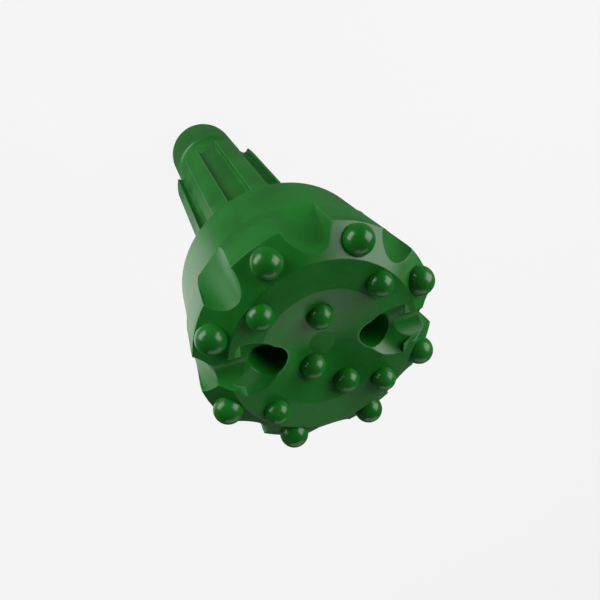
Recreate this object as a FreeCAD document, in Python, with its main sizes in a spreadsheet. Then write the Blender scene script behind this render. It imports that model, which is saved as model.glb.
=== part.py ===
"""Button bit for a down-the-hole rock drill: one forged and machined steel body with a splined
shank, and fifteen tungsten carbide buttons pressed into its face.

Millimetres and degrees. The bit stands on its strike face with the drilling face up: +Z is the
drilling direction and the origin is the centre of the strike face. +X runs along one of the two
flushing channels of the drilling face.
"""
import FreeCAD, Part
import os
import re
import Sketcher

SIZES = [
    # head
    ("face_height", 412.0, "strike face to the ridge round the drilling face"),
    ("gauge_diameter", 150.0, "steel diameter of the head at the gauge land"),
    ("gauge_angle", 35.0, "slope of the gauge bevel"),
    ("ridge_diameter", 115.6, "ridge between the gauge bevel and the flat ring"),
    ("ring_inner_diameter", 78.8, "inner edge of the flat ring"),
    ("ring_drop", 0.8, "fall of the flat ring towards the concave centre"),
    ("centre_diameter", 16.0, "flat spot in the middle of the concave centre"),
    ("centre_depth", 7.6, "depth of that flat spot below the ridge"),
    ("land_length", 5.1, "height of the gauge land"),
    ("flare_rear_diameter", 147.0, "rear end of the back taper behind the land"),
    ("flare_depth", 43.0, "ridge to the rear end of the back taper"),
    ("flare_step", 1.2, "height of the small chamfer behind the back taper"),
    ("skirt_front_diameter", 143.8, "front end of the skirt"),
    ("skirt_rear_diameter", 139.2, "rear end of the skirt"),
    ("head_depth", 91.0, "ridge to the rear edge of the skirt"),
    ("shoulder_diameter", 124.0, "flat shoulder that meets the drive chuck"),
    ("neck_radius", 5.0, "fillet between the shoulder and the shank"),
    # shank
    ("spline_diameter", 90.4, "outer diameter over the splines"),
    ("spline_root", 77.0, "diameter of the flute floors"),
    ("spline_turn", 36.5, "angle from the flushing channel to the first spline"),
    ("flute_width", 19.4, "width of a flute between two splines"),
    ("flute_corner", 3.0, "corner radius in the bottom of a flute"),
    ("flute_cutter", 32.0, "radius of the disc cutter that ran out of the flutes"),
    ("flute_gap", 1.0, "gap between that run-out and the neck fillet"),
    ("spline_rear_depth", 299.0, "ridge to the rear end of the splines"),
    ("spline_chamfer", 3.0, "chamfer on the rear end of the splines"),
    ("waist_diameter", 68.4, "waist that clears the retaining rings"),
    ("waist_cone", 25.0, "length of the cone between the waist and the splines"),
    ("guide_diameter", 72.0, "rear guide that slides in the hammer's bearing"),
    ("guide_length", 60.0, "length of the rear guide"),
    ("guide_chamfer", 4.0, "chamfer round the strike face"),
    # air passages
    ("valve_bore", 33.0, "bore that takes the foot valve"),
    ("valve_depth", 48.0, "depth of that bore"),
    ("valve_chamfer", 2.0, "chamfer at its mouth"),
    ("air_bore", 27.0, "air bore up the middle"),
    ("air_cover", 72.0, "ridge to the blind end of the air bore"),
    ("drill_cone", 8.0, "height of the cone that the drill left at that end"),
    ("flush_circle", 36.0, "mouth of a flushing hole from the bit's axis"),
    ("flush_bore", 21.6, "flushing hole"),
    ("flush_lean", 25.0, "lean of a flushing hole"),
    ("flush_mouth", 30.6, "countersink at the mouth of a flushing hole"),
    ("flush_length", 88.0, "length of a flushing hole"),
    ("channel_width", 23.0, "diameter of the round cutter that made the face channels"),
    ("channel_depth", 8.4, "depth of a face channel below the ridge"),
    # gullets
    ("face_turn", 2.0, "angle from the flushing channel to the first gullet"),
    ("gullet_width", 24.8, "width of a gullet"),
    ("gullet_root", 61.8, "floor of a gullet from the bit's axis, level with the ridge"),
    ("wide_width", 28.8, "width of the two wide gullets"),
    ("wide_root", 61.0, "floor of the two wide gullets, level with the ridge"),
    ("wide_ridge", 7.6, "where the flank of a wide gullet meets its floor at the face"),
    ("wide_flank", 28.0, "lean of that flank"),
    ("gullet_bowl", 0.96, "depth of a round gullet floor at the face, in half widths"),
    ("gullet_exit", 0.7, "floor of any gullet above the skirt where it runs out"),
    ("gullet_sag", 0.4, "hollow of its floor there"),
    # buttons
    ("gauge_button", 18.0, "gauge button diameter"),
    ("gauge_seat", 13.8, "depth of a gauge button's socket"),
    ("gauge_stand", 10.2, "height of a gauge button above the bevel"),
    ("gauge_circle", 66.4, "gauge buttons' sockets from the bit's axis"),
    ("gauge_turn", 24.5, "angle from the flushing channel to the first gauge button"),
    ("front_button", 16.0, "front button diameter"),
    ("front_seat", 13.6, "depth of a front button's socket"),
    ("front_stand", 8.4, "height of a front button above the face"),
    ("ring_circle", 49.0, "ring buttons from the bit's axis"),
    ("ring_turn", 47.0, "angle from the flushing channel to the first ring button"),
    ("inner_circle_1", 21.5, "first inner button from the bit's axis"),
    ("inner_turn_1", 93.6, "its angle"),
    ("inner_circle_2", 15.5, "second inner button from the bit's axis"),
    ("inner_turn_2", 241.8, "its angle"),
    ("inner_circle_3", 31.0, "third inner button from the bit's axis"),
    ("inner_turn_3", 293.6, "its angle"),
    ("foot_chamfer", 1.2, "chamfer round the foot of a button"),
    ("socket_clearance", 0.02, "radial gap between a button and its socket"),
]

SPLINES = 8
GULLETS = 8
GAUGE_BUTTONS = 8
RING_BUTTONS = 4
INNER_BUTTONS = 3
CUT_BEYOND = 6.0    # how far cutting tools run past the steel

NAMES = {name for name, size, meaning in SIZES}
doc = FreeCAD.newDocument("button_bit")


def make_sheet():
    """The spreadsheet of driving dimensions, one aliased cell for each."""
    table = doc.addObject("Spreadsheet::Sheet", "Dimensions")
    for row, (name, size, meaning) in enumerate(SIZES, start=1):
        table.set(f"A{row}", meaning)
        table.set(f"B{row}", str(size))
        table.setAlias(f"B{row}", name)
    doc.recompute()
    return table


sheet = make_sheet()

# Heights and lengths that follow from the sheet, as formulas in its names.
RIDGE = "face_height"
SKIRT_REAR = "(face_height - head_depth)"
SHOULDER = "(face_height - head_depth - (skirt_rear_diameter - shoulder_diameter) / 2)"
LAND_TOP = "(face_height - (gauge_diameter - ridge_diameter) / 2 * tan(gauge_angle))"
FLARE_REAR = "(face_height - flare_depth)"
SPLINE_REAR = "(face_height - spline_rear_depth)"
BORE_END = "(face_height - air_cover)"
CONE_SLOPE = "((centre_depth - ring_drop) / (ring_inner_diameter - centre_diameter) * 2)"
FLUTE_DEPTH = "((spline_diameter - spline_root) / 2)"
RUNOUT = f"sqrt(flute_cutter ^ 2 - (flute_cutter - {FLUTE_DEPTH}) ^ 2)"
FLUTE_FRONT = f"({SHOULDER} - neck_radius - flute_gap - {RUNOUT})"


def bound(formula):
    """A formula in the sheet's names, as other objects have to write it."""
    return re.sub(r"[a-z]\w*", lambda word: ("Dimensions." if word[0] in NAMES else "") + word[0],
                  formula)


def value(formula):
    """What such a formula is worth now."""
    return float(sheet.evalExpression(bound(formula)))


def origin_part(body, role):
    """One of a body's own origin planes or axes."""
    return next(f for f in body.Origin.OriginFeatures if f.Role == role)


def flat_sketch(body, name, height, turn="0"):
    """A sketch square to the bit's axis: its own X points away from the axis at the turn."""
    sketch = body.newObject("Sketcher::SketchObject", name)
    sketch.AttachmentSupport = [(origin_part(body, "XY_Plane"), "")]
    sketch.MapMode = "FlatFace"
    sketch.setExpression("AttachmentOffset", bound(
        f"placement(vector(0; 0; {height}); rotation(vector(0; 0; 1); {turn}))"))
    doc.recompute()
    return sketch


def upright_sketch(body, name, turn="0", out="0", height="0", lean="0"):
    """A sketch in a plane through the bit's axis. Its origin lies out from the axis and up, and
    its own Y leans outwards from straight up."""
    sketch = body.newObject("Sketcher::SketchObject", name)
    sketch.AttachmentSupport = [(origin_part(body, "XZ_Plane"), "")]
    sketch.MapMode = "FlatFace"
    sketch.setExpression("AttachmentOffset", bound(
        f"placement(vector(0; 0; 0); rotation(vector(0; 1; 0); {turn})) * "
        f"placement(vector({out}; {height}; 0); rotation(vector(0; 0; 1); -1 * ({lean})))"))
    doc.recompute()
    return sketch


def pin(sketch, geometry, end, across, up):
    """Holds one end of an edge at two coordinates, each a formula."""
    for kind, formula, axis in (("DistanceX", across, -2), ("DistanceY", up, -1)):
        size = value(formula)
        if abs(size) < 1e-9:
            sketch.addConstraint(Sketcher.Constraint("PointOnObject", geometry, end, axis))
        elif size > 0:
            index = sketch.addConstraint(Sketcher.Constraint(kind, -1, 1, geometry, end, size))
            sketch.setExpression(f"Constraints[{index}]", bound(formula))
        else:
            index = sketch.addConstraint(Sketcher.Constraint(kind, geometry, end, -1, 1, -size))
            sketch.setExpression(f"Constraints[{index}]", bound(f"-1 * ({formula})"))


def outline(sketch, corners):
    """A closed outline. Each corner is (x, y), or (x, y, radius) where the edge that leaves it is
    an arc that keeps its centre on the left, or on the right where the radius has a minus."""
    count = len(corners)
    points = [FreeCAD.Vector(value(x), value(y), 0) for x, y, *arc in corners]
    for index, (x, y, *arc) in enumerate(corners):
        start, end = points[index], points[(index + 1) % count]
        sketch.addGeometry(rounded(start, end, value(arc[0])) if arc else
                           Part.LineSegment(start, end))
    heads = [(2, 1) if arc and value(arc[0]) < 0 else (1, 2) for x, y, *arc in corners]
    for index, (x, y, *arc) in enumerate(corners):
        before = (index - 1) % count
        sketch.addConstraint(Sketcher.Constraint("Coincident", index, heads[index][0],
                                                 before, heads[before][1]))
        pin(sketch, index, heads[index][0], x, y)
        if arc:
            row = sketch.addConstraint(Sketcher.Constraint("Radius", index, abs(value(arc[0]))))
            sketch.setExpression(f"Constraints[{row}]", bound(f"abs({arc[0]})"))
    doc.recompute()


def rounded(start, end, radius):
    """The shorter arc of that radius from start to end."""
    chord = end - start
    left = FreeCAD.Vector(-chord.y, chord.x, 0).normalize()
    height = max(radius ** 2 - (chord.Length / 2) ** 2, 0) ** 0.5 * (1 if radius > 0 else -1)
    centre = (start + end) / 2 + left * height
    return Part.Arc(start, centre - left * radius, end)


def turn_round(body, name, kind, sketch, axis="V_Axis", angle="360", back=False):
    """Turns a section about one of its sketch's axes: a Revolution adds it, a Groove cuts it."""
    feature = body.newObject(kind, name)
    feature.Profile = sketch
    feature.ReferenceAxis = (sketch, [axis])
    feature.Reversed = back
    feature.setExpression("Angle", bound(angle))
    doc.recompute()
    return feature


def repeat(body, name, features, count):
    """Repeats features evenly round the bit's axis."""
    pattern = body.newObject("PartDesign::PolarPattern", name)
    pattern.Originals = features
    pattern.Axis = (origin_part(body, "Z_Axis"), [""])
    pattern.Angle = 360.0
    pattern.Occurrences = count
    body.Tip = pattern
    doc.recompute()
    return pattern


def cuts(body, make):
    """Runs one cutting step and makes sure that it took steel away."""
    before = body.Shape.Volume
    make(body)
    doc.recompute()
    if body.Shape.Volume > before - 1.0:
        raise RuntimeError(f"{make.__name__} cut nothing")


def turn_blank(body):
    """The turned blank with its bore: the half section runs down the bore, out over the strike
    face, up the shank and the head, and back in over the drilling face."""
    sketch = upright_sketch(body, "blank_section")
    outline(sketch, [
        ("0", f"{BORE_END} + drill_cone"),
        ("air_bore / 2", BORE_END),
        ("air_bore / 2", "valve_depth"),
        ("valve_bore / 2", "valve_depth"),
        ("valve_bore / 2", "valve_chamfer"),
        ("valve_bore / 2 + valve_chamfer", "0"),
        ("guide_diameter / 2 - guide_chamfer", "0", "guide_chamfer"),
        ("guide_diameter / 2", "guide_chamfer"),
        ("guide_diameter / 2", "guide_length"),
        ("waist_diameter / 2", "guide_length + (guide_diameter - waist_diameter) / 2"),
        ("waist_diameter / 2", f"{SPLINE_REAR} - waist_cone"),
        ("spline_root / 2", SPLINE_REAR),
        ("spline_diameter / 2 - spline_chamfer", SPLINE_REAR, "spline_chamfer"),
        ("spline_diameter / 2", f"{SPLINE_REAR} + spline_chamfer"),
        ("spline_diameter / 2", f"{SHOULDER} - neck_radius", "-1 * neck_radius"),
        ("spline_diameter / 2 + neck_radius", SHOULDER),
        ("shoulder_diameter / 2", SHOULDER),
        ("skirt_rear_diameter / 2", SKIRT_REAR),
        ("skirt_front_diameter / 2", f"{FLARE_REAR} - flare_step"),
        ("flare_rear_diameter / 2", FLARE_REAR),
        ("gauge_diameter / 2", f"{LAND_TOP} - land_length"),
        ("gauge_diameter / 2", LAND_TOP),
        ("ridge_diameter / 2", RIDGE),
        ("ring_inner_diameter / 2", f"{RIDGE} - ring_drop"),
        ("centre_diameter / 2", f"{RIDGE} - centre_depth"),
        ("0", f"{RIDGE} - centre_depth"),
    ])
    turn_round(body, "blank", "PartDesign::Revolution", sketch)


def flute_section(body, name):
    """A flute square to the bit's axis: straight sides, a floor concentric with the shank and a
    round corner between them. It is turned to lie midway between two splines."""
    sketch = flat_sketch(body, name, FLUTE_FRONT, f"spline_turn + 180 / {SPLINES}")
    outer = f"spline_diameter / 2 + {CUT_BEYOND}"
    corner_out = "sqrt((spline_root / 2 + flute_corner) ^ 2 - (flute_width / 2 - flute_corner) ^ 2)"
    share = "spline_root / (spline_root + 2 * flute_corner)"
    floor_out = f"{corner_out} * {share}"
    floor_side = f"(flute_width / 2 - flute_corner) * {share}"
    outline(sketch, [
        (outer, "flute_width / 2"),
        (corner_out, "flute_width / 2", "flute_corner"),
        (floor_out, floor_side, "-1 * spline_root / 2"),
        (floor_out, f"-1 * {floor_side}", "flute_corner"),
        (corner_out, "-1 * flute_width / 2"),
        (outer, "-1 * flute_width / 2"),
    ])
    return sketch


def mill_flutes(body):
    """Flutes between the splines: a straight run from the rear, and the run-out of a disc cutter
    in front of it."""
    run = body.newObject("PartDesign::Pocket", "flute")
    run.Profile = flute_section(body, "flute_section")
    run.setExpression("Length", bound(f"{FLUTE_FRONT} - {SPLINE_REAR}"))
    doc.recompute()
    section = flute_section(body, "runout_section")
    axle = section.addGeometry(Part.LineSegment(FreeCAD.Vector(70, -9, 0),
                                                FreeCAD.Vector(70, 9, 0)), True)
    pin(section, axle, 1, "spline_root / 2 + flute_cutter", "-1 * flute_width / 2")
    pin(section, axle, 2, "spline_root / 2 + flute_cutter", "flute_width / 2")
    swing = f"acos((flute_cutter - {FLUTE_DEPTH}) / flute_cutter) + {CUT_BEYOND} * 1deg"
    runout = turn_round(body, "flute_runout", "PartDesign::Groove", section, "Axis0", swing)
    repeat(body, "flutes", [run, runout], SPLINES)


def gullet_section(body, name, height, turn, root, width, ridge, sag, flank):
    """A gullet square to the bit's axis, cut well past the gauge: a plain side, a round floor as
    deep as its sag, and from the ridge outwards a side that leans by the flank."""
    sketch = flat_sketch(body, name, height, turn)
    half = f"({width}) / 2"
    radius = f"(({half}) ^ 2 + ({sag}) ^ 2) / (2 * ({sag}))"
    outer = f"gauge_diameter / 2 + 2 * {CUT_BEYOND}"
    ridge_out = f"({root}) + {radius} - sqrt(({radius}) ^ 2 - ({ridge}) ^ 2)"
    outline(sketch, [
        (outer, half),
        (f"({root}) + ({sag})", half, radius),
        (ridge_out, f"-1 * ({ridge})"),
        (outer, f"-1 * ({ridge}) - ({outer} - ({ridge_out})) * tan({flank})"),
    ])
    return sketch


def mill_gullet(body, name, turn, root, width, ridge, flank):
    """One gullet: deep and round at the face, and shallow and nearly flat where it runs out over
    the small step between the back taper and the skirt."""
    top = gullet_section(body, f"{name}_face_section", f"{RIDGE} + {CUT_BEYOND}", turn,
                         f"{root} - {CUT_BEYOND} * (skirt_front_diameter / 2 + gullet_exit - {root})"
                         f" / (flare_depth + 2 * flare_step)",
                         width, ridge, f"({width}) / 2 * gullet_bowl", flank)
    rear = gullet_section(body, f"{name}_rear_section", f"{FLARE_REAR} - 2 * flare_step", turn,
                          "skirt_front_diameter / 2 + gullet_exit", width, f"({width}) / 2",
                          "gullet_sag", flank)
    cut = body.newObject("PartDesign::SubtractiveLoft", name)
    cut.Profile = top
    cut.Sections = [rear]
    cut.Ruled = True
    doc.recompute()
    return cut


def mill_gullets(body):
    """Eight gullets for the cuttings, one of them at each flushing channel."""
    cut = mill_gullet(body, "gullet", "face_turn", "gullet_root", "gullet_width",
                      "gullet_width / 2", "0")
    repeat(body, "gullets", [cut], GULLETS)


def mill_wide_gullets(body):
    """The two gullets a quarter turn from the flushing channels are wider, with one side that a
    second pass has laid back."""
    cut = mill_gullet(body, "wide_gullet", "face_turn + 90", "wide_root", "wide_width",
                      "wide_ridge", "wide_flank")
    repeat(body, "wide_gullets", [cut], 2)


def drill_flushing_holes(body):
    """Two flushing holes that lean in from the face to the air bore, each with a countersunk
    mouth and a round-bottomed channel from there out to the gauge."""
    mouth = upright_sketch(body, "flush_section", "0", "flush_circle", f"{RIDGE} - ring_drop",
                           "flush_lean")
    outline(mouth, [
        ("0", f"{CUT_BEYOND}"),
        (f"flush_mouth / 2 + {CUT_BEYOND}", f"{CUT_BEYOND}"),
        ("flush_bore / 2", "-1 * (flush_mouth - flush_bore) / 2"),
        ("flush_bore / 2", "-1 * flush_length"),
        ("0", "-1 * flush_length"),
    ])
    hole = turn_round(body, "flushing_hole", "PartDesign::Groove", mouth)
    ring = body.newObject("Sketcher::SketchObject", "channel_section")
    ring.AttachmentSupport = [(origin_part(body, "YZ_Plane"), "")]
    ring.MapMode = "FlatFace"
    ring.setExpression("AttachmentOffset.Base.z", bound("flush_circle"))
    up = f"{RIDGE} - channel_depth + channel_width / 2"
    ring.addGeometry(Part.Circle(FreeCAD.Vector(0, value(up), 0), FreeCAD.Vector(0, 0, 1),
                                 value("channel_width / 2")))
    pin(ring, 0, 3, "0", up)
    row = ring.addConstraint(Sketcher.Constraint("Radius", 0, value("channel_width / 2")))
    ring.setExpression(f"Constraints[{row}]", bound("channel_width / 2"))
    channel = body.newObject("PartDesign::Pocket", "channel")
    channel.Profile = ring
    channel.Reversed = True
    channel.setExpression("Length", bound(f"gauge_diameter / 2 - flush_circle + {CUT_BEYOND}"))
    doc.recompute()
    repeat(body, "flushing", [hole, channel], 2)


def button_places():
    """Name, size group, turn, distance out, height and lean of each button's seat, and how many
    there are round the axis."""
    ring_height = (f"{RIDGE} - ring_drop * (ridge_diameter / 2 - ring_circle)"
                   " / ((ridge_diameter - ring_inner_diameter) / 2)")
    places = [
        ("gauge_button", "gauge", "gauge_turn", "gauge_circle",
         f"{RIDGE} - (gauge_circle - ridge_diameter / 2) * tan(gauge_angle)", "gauge_angle",
         GAUGE_BUTTONS),
        ("ring_button", "front", "ring_turn", "ring_circle", ring_height, "0", RING_BUTTONS),
    ]
    for number in range(1, INNER_BUTTONS + 1):
        out = f"inner_circle_{number}"
        height = f"{RIDGE} - ring_drop - (ring_inner_diameter / 2 - {out}) * {CONE_SLOPE}"
        places.append((f"inner_button_{number}", "front", f"inner_turn_{number}", out, height,
                       f"-1 * atan({CONE_SLOPE})", 1))
    return places


def bore_sockets(body):
    """A flat-bottomed socket for each button, square to the surface that it stands on."""
    for name, group, turn, out, height, lean, count in button_places():
        sketch = upright_sketch(body, f"{name}_socket_section", turn, out, height, lean)
        wall = f"{group}_button / 2 + socket_clearance"
        outline(sketch, [
            ("0", f"{CUT_BEYOND}"),
            (wall, f"{CUT_BEYOND}"),
            (wall, f"-1 * {group}_seat"),
            ("0", f"-1 * {group}_seat"),
        ])
        socket = turn_round(body, f"{name}_socket", "PartDesign::Groove", sketch)
        if count > 1:
            repeat(body, f"{name}_sockets", [socket], count)


def make_button(label, group, turn, out, height, lean):
    """One button: a cylinder with a chamfered foot and a domed end, standing in its socket."""
    button = doc.addObject("PartDesign::Body", label)
    button.setExpression("Placement", bound(
        f"placement(vector(0; 0; 0); rotation(vector(0; 0; 1); {turn})) * "
        f"placement(vector({out}; 0; {height}); rotation(vector(0; 1; 0); {lean}))"))
    sketch = upright_sketch(button, f"{label}_section")
    outline(sketch, [
        ("0", f"-1 * {group}_seat"),
        (f"{group}_button / 2 - foot_chamfer", f"-1 * {group}_seat"),
        (f"{group}_button / 2", f"foot_chamfer - {group}_seat"),
        (f"{group}_button / 2", f"{group}_stand - {group}_button / 2", f"{group}_button / 2"),
        ("0", f"{group}_stand"),
    ])
    turn_round(button, f"{label}_turned", "PartDesign::Revolution", sketch)
    return button


def make_body():
    """The one-piece steel body."""
    body = doc.addObject("PartDesign::Body", "bit_body")
    turn_blank(body)
    for step in (mill_flutes, mill_gullets, mill_wide_gullets, drill_flushing_holes, bore_sockets):
        cuts(body, step)
    return body


def make_buttons():
    """All fifteen buttons."""
    buttons = []
    for name, group, turn, out, height, lean, count in button_places():
        for index in range(count):
            label = f"{name}_{index + 1}" if count > 1 else name
            step = f"{turn} + {index} * 360 / {count}"
            buttons.append(make_button(label, group, step, out, height, lean))
    return buttons


def check(pieces):
    """Every object has to be recomputed without an error, and every piece one sound solid."""
    doc.recompute()
    for item in doc.Objects:
        if {"Invalid", "Error"} & set(item.State):
            raise RuntimeError(f"{item.Name}: {item.State}")
    for piece in pieces:
        shape = piece.Shape
        if shape.isNull() or not shape.isValid() or len(shape.Solids) != 1:
            raise RuntimeError(f"{piece.Label} is not one sound solid")


def write(pieces):
    """One STEP file for each piece."""
    os.makedirs("parts", exist_ok=True)
    for piece in pieces:
        piece.Shape.exportStep(f"parts/{piece.Label}.step")
        box = piece.Shape.BoundBox
        print(f"{piece.Label}: {piece.Shape.Volume:.0f} mm3, z {box.ZMin:.2f} to {box.ZMax:.2f}")


pieces = [make_body()] + make_buttons()
check(pieces)
write(pieces)
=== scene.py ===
import math

import bpy
from mathutils import Matrix, Vector


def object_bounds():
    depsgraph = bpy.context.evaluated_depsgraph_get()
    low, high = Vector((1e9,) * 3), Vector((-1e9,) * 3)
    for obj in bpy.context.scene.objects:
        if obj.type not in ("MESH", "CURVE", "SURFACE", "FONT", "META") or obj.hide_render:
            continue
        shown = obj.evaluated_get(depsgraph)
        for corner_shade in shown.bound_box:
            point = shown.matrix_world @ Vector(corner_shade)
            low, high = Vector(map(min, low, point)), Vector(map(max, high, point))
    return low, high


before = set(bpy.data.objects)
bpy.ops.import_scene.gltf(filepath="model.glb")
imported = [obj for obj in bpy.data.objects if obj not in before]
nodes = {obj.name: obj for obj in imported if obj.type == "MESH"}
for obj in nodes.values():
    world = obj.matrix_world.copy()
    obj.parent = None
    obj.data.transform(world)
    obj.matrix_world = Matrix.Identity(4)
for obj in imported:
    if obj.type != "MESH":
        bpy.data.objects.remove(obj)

cad_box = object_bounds()

# ------------------------------------------------------------------------------------------ view
# The camera looks down on the drilling face of the standing bit from behind its wide gullet, and
# is rolled so that the shank runs up and to the left.
camera_place = Vector((-0.0797, 0.1939, 0.6482))
camera_aim = Vector((-0.0132, 0.0378, 0.412))
camera_roll = math.radians(147.14)

camera = bpy.data.objects.new("camera", bpy.data.cameras.new("camera"))
bpy.context.scene.collection.objects.link(camera)
camera.data.sensor_width = 36.0
camera.data.lens = 32.74
look = (camera_aim - camera_place).to_track_quat("-Z", "Y").to_matrix().to_4x4()
camera.matrix_world = Matrix.Translation(camera_place) @ look @ Matrix.Rotation(camera_roll, 4, "Z")
bpy.context.scene.camera = camera

# ------------------------------------------------------------------------------------------ body
# The body is one forging of alloy steel, turned, milled, drilled and hardened, then sprayed with
# semi-gloss green enamel in one coat, which follows the tool marks. Its edges get a painted highlight.
class Signal:
    """A socket of a finish's node tree. Operators between signals and numbers add Math nodes."""

    def __init__(self, finish, socket):
        self.finish = finish
        self.socket = socket

    def out(self, name):
        """Another output of the same node."""
        return Signal(self.finish, self.socket.node.outputs[name])

    def math(self, operation, *values):
        return self.finish.add("ShaderNodeMath", {"operation": operation}, dict(enumerate(values)))

    def __add__(self, other):
        return self.math("ADD", self, other)

    def __rsub__(self, other):
        return self.math("SUBTRACT", other, self)

    def __mul__(self, other):
        return self.math("MULTIPLY", self, other)

    def __pow__(self, other):
        return self.math("POWER", self, other)

    __radd__ = __add__
    __rmul__ = __mul__


class Finish:
    """The node tree of a material or of the world. Every node in it is made by add()."""

    def __init__(self, tree):
        self.tree = tree
        tree.nodes.clear()

    def add(self, kind, settings, sockets, output=0):
        """A node of some kind, its settings, the values or signals of its sockets, and the output
        that is wanted from it."""
        made = self.tree.nodes.new(kind)
        for name, setting in settings.items():
            setattr(made, name, setting)
        for name, given in sockets.items():
            if isinstance(given, Signal):
                self.tree.links.new(given.socket, made.inputs[name])
            else:
                made.inputs[name].default_value = given
        if output is not None:
            return Signal(self, made.outputs[output])

    def blend(self, factor, first, second):
        """One colour turned into another by a factor from 0 to 1."""
        return self.add("ShaderNodeMix", {"data_type": "RGBA"}, {0: factor, 6: first, 7: second}, 2)

    def noise(self, point, scale, detail=2.0):
        """Clouds of about 1 / scale metres."""
        return self.add("ShaderNodeTexNoise", {}, {"Vector": point, "Scale": scale, "Detail": detail})

    def step(self, value, low, high):
        """0 below low, 1 above high, and smooth between."""
        return self.add("ShaderNodeMapRange", {"interpolation_type": "SMOOTHSTEP"},
                        {"Value": value, "From Min": low, "From Max": high})

    def end(self, kind, shader):
        """The output node, which the shader goes to."""
        self.add(kind, {}, {"Surface": shader}, None)


def new_material(name):
    """A material and its empty finish."""
    material = bpy.data.materials.new(name)
    material.use_nodes = True
    return material, Finish(material.node_tree)


thick_green = (0.007, 0.165, 0.011, 1)
thin_green = (0.012, 0.235, 0.021, 1)
dust_green = (0.06, 0.32, 0.08, 1)
# The colour of the painted shade in corners.
corner_shade_green = (0.004, 0.045, 0.006, 1)
# The colour of the painted highlight on outer edges.
edge_highlight_green = (0.075, 0.38, 0.09, 1)


def enamel(name, thin, edge_radius, tool_marks, gloss):
    """The green coat, with a painted highlight along outer edges and painted shade in corners. thin is its
    colour where it is thin, edge_radius rounds the edges that it covers and sets the width of the painted
    highlight, tool_marks is how far turning marks show through, and gloss is its least roughness."""
    material, paint = new_material(name)
    point = paint.add("ShaderNodeTexCoord", {}, {}, "Object")
    spot = paint.add("ShaderNodeSeparateXYZ", {}, {"Vector": point})
    across = spot.out("X")
    along = spot.out("Y")
    height = spot.out("Z")
    radius = (across * across + along * along) ** 0.5

    # The coat is thin and pale in clouds left by the spray, and dust of dry paint lies on it. A painted
    # highlight runs along outer edges, and painted shade darkens corners and the foot of each button.
    edge_reach = 2.2 * edge_radius
    corner_reach = 0.0035
    rounded = paint.add("ShaderNodeBevel", {"samples": 6}, {"Radius": edge_radius})
    inward = paint.add("ShaderNodeAmbientOcclusion", {"inside": True, "only_local": True, "samples": 6},
                       {"Distance": edge_reach}, "AO")
    outward = paint.add("ShaderNodeAmbientOcclusion", {"samples": 8}, {"Distance": corner_reach}, "AO")
    # Painted highlight: convex edges, found by occlusion from inside, are lightened.
    edge_highlight = paint.step(1 - inward, 0.28, 0.62)
    # Painted shade: corners, found by ambient occlusion, are darkened.
    corner_shade = paint.step(1 - outward, 0.25, 0.75)
    clouds = paint.step(paint.noise(point, 26.0, 4.0), 0.32, 0.72)
    dust = paint.step(paint.noise(point, 700.0, 1.0), 0.70, 0.76)
    coat = paint.blend(clouds, thick_green, thin)
    coat = paint.blend(dust * 0.25, coat, dust_green)
    # The painted shade in corners and round the foot of each button.
    coat = paint.blend(corner_shade * 0.6, coat, corner_shade_green)
    # The painted highlight along outer edges.
    coat = paint.blend(edge_highlight * 0.75, coat, edge_highlight_green)

    # Fine turning marks run round the axis, 1.2 mm apart: they step with height on the sides and
    # with radius on the face. The enamel has dried with a slight peel.
    radians_per_metre = 5200.0
    wander = paint.noise(point, 40.0) * 6.0
    rings = paint.add("ShaderNodeMath", {"operation": "SINE"},
                      {0: (height + radius * 0.8) * radians_per_metre + wander})
    peel = paint.noise(point, 420.0, 2.0)
    relief = rings * tool_marks + peel * 0.5
    bumped = paint.add("ShaderNodeBump", {}, {"Strength": 0.18, "Distance": 0.0003,
                                              "Height": relief, "Normal": rounded})
    shader = paint.add("ShaderNodeBsdfPrincipled", {}, {
        "Base Color": coat,
        "Roughness": gloss + 0.08 * clouds + 0.06 * peel,
        "Normal": bumped,
    })
    paint.end("ShaderNodeOutputMaterial", shader)
    return material


def coat_node(name, material):
    """A CAD node's own material gives way to the coat."""
    nodes[name].data.materials.clear()
    nodes[name].data.materials.append(material)


coat_node("bit_body", enamel("body_enamel", thin_green, 0.0009, 0.25, 0.27))

# --------------------------------------------------------------------------------------- buttons
# Each button is sintered tungsten carbide, ground smooth with a domed end, and pressed cold into
# its socket. The same coat lies on it, smoother than on the steel.
button_green = (0.012, 0.225, 0.020, 1)
button_coat = enamel("button_enamel", button_green, 0.0004, 0.0, 0.20)
for name in nodes:
    if "button" in name:
        coat_node(name, button_coat)

# ----------------------------------------------------------------------------------------- floor
# A wide matt floor that the bit stands on, and the pale room behind it. Both are white to the
# eye, and dark in the gloss of the paint.
floor_size = 12
grey = (0.45, 0.45, 0.45, 1)
white = (1, 1, 1, 1)
shadeless = 0.85

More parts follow.
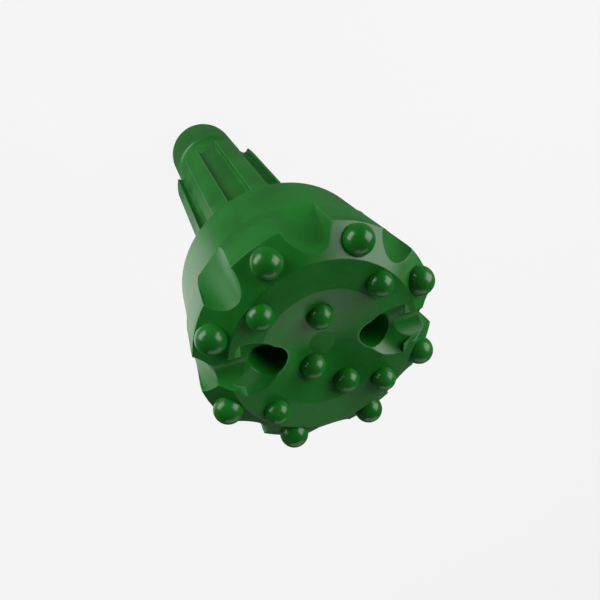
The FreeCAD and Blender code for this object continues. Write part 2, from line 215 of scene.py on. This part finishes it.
bpy.ops.mesh.primitive_plane_add(size=floor_size)
floor = bpy.context.object
floor.name = "floor"
floor_paint, ground = new_material("floor")
seen = ground.add("ShaderNodeLightPath", {}, {}, "Is Camera Ray")
mirrored = seen.out("Is Glossy Ray")
lit = ground.add("ShaderNodeBsdfDiffuse", {}, {"Color": grey})
plain = ground.add("ShaderNodeEmission", {}, {"Color": white, "Strength": 1.03 * seen + 0.10 * mirrored})
matt = ground.add("ShaderNodeMixShader", {}, {0: seen * shadeless + mirrored * shadeless, 1: lit, 2: plain})
ground.end("ShaderNodeOutputMaterial", matt)
floor.data.materials.append(floor_paint)

world = bpy.data.worlds.new("world")
bpy.context.scene.world = world
world.use_nodes = True
room = Finish(world.node_tree)
seen = room.add("ShaderNodeLightPath", {}, {}, "Is Camera Ray")
air = room.add("ShaderNodeBackground", {}, {"Color": white, "Strength": 0.06 + 0.90 * seen})
room.end("ShaderNodeOutputWorld", air)

# ---------------------------------------------------------------------------------------- lights
# Two soft boxes, left and right of the drilling face, and two weak cards: one in front of the
# face, and one low on the left that shows in the gloss of the skirt.
lit_spot = Vector((0, 0, cad_box[1][2]))
right, up, back = (Vector(column[:3]) for column in camera.matrix_world.col[:3])


def softbox(name, direction, distance, width, height, power):
    """An area lamp that points at the face. Its direction from there is how far it lies to the
    right, up and towards the viewer."""
    lamp = bpy.data.objects.new(name, bpy.data.lights.new(name, "AREA"))
    bpy.context.scene.collection.objects.link(lamp)
    lamp.data.shape = "RECTANGLE"
    lamp.data.size = width
    lamp.data.size_y = height
    lamp.data.energy = power
    lamp.visible_camera = False
    way = (right * direction[0] + up * direction[1] + back * direction[2]).normalized()
    lamp.location = lit_spot + way * distance
    lamp.rotation_euler = (-way).to_track_quat("-Z", "Y").to_euler()


softbox("left_box", (-0.84, 0.48, 0.22), 1.0, 0.9, 0.9, 12.0)
softbox("right_box", (0.84, 0.34, 0.36), 1.0, 0.8, 0.9, 8.5)
softbox("front_card", (0.25, -0.95, -0.15), 1.0, 1.2, 0.6, 1.8)
softbox("low_card", (-0.80, 0.12, -0.62), 0.42, 0.3, 0.3, 0.3)
bpy.context.scene.view_settings.view_transform = "Standard"
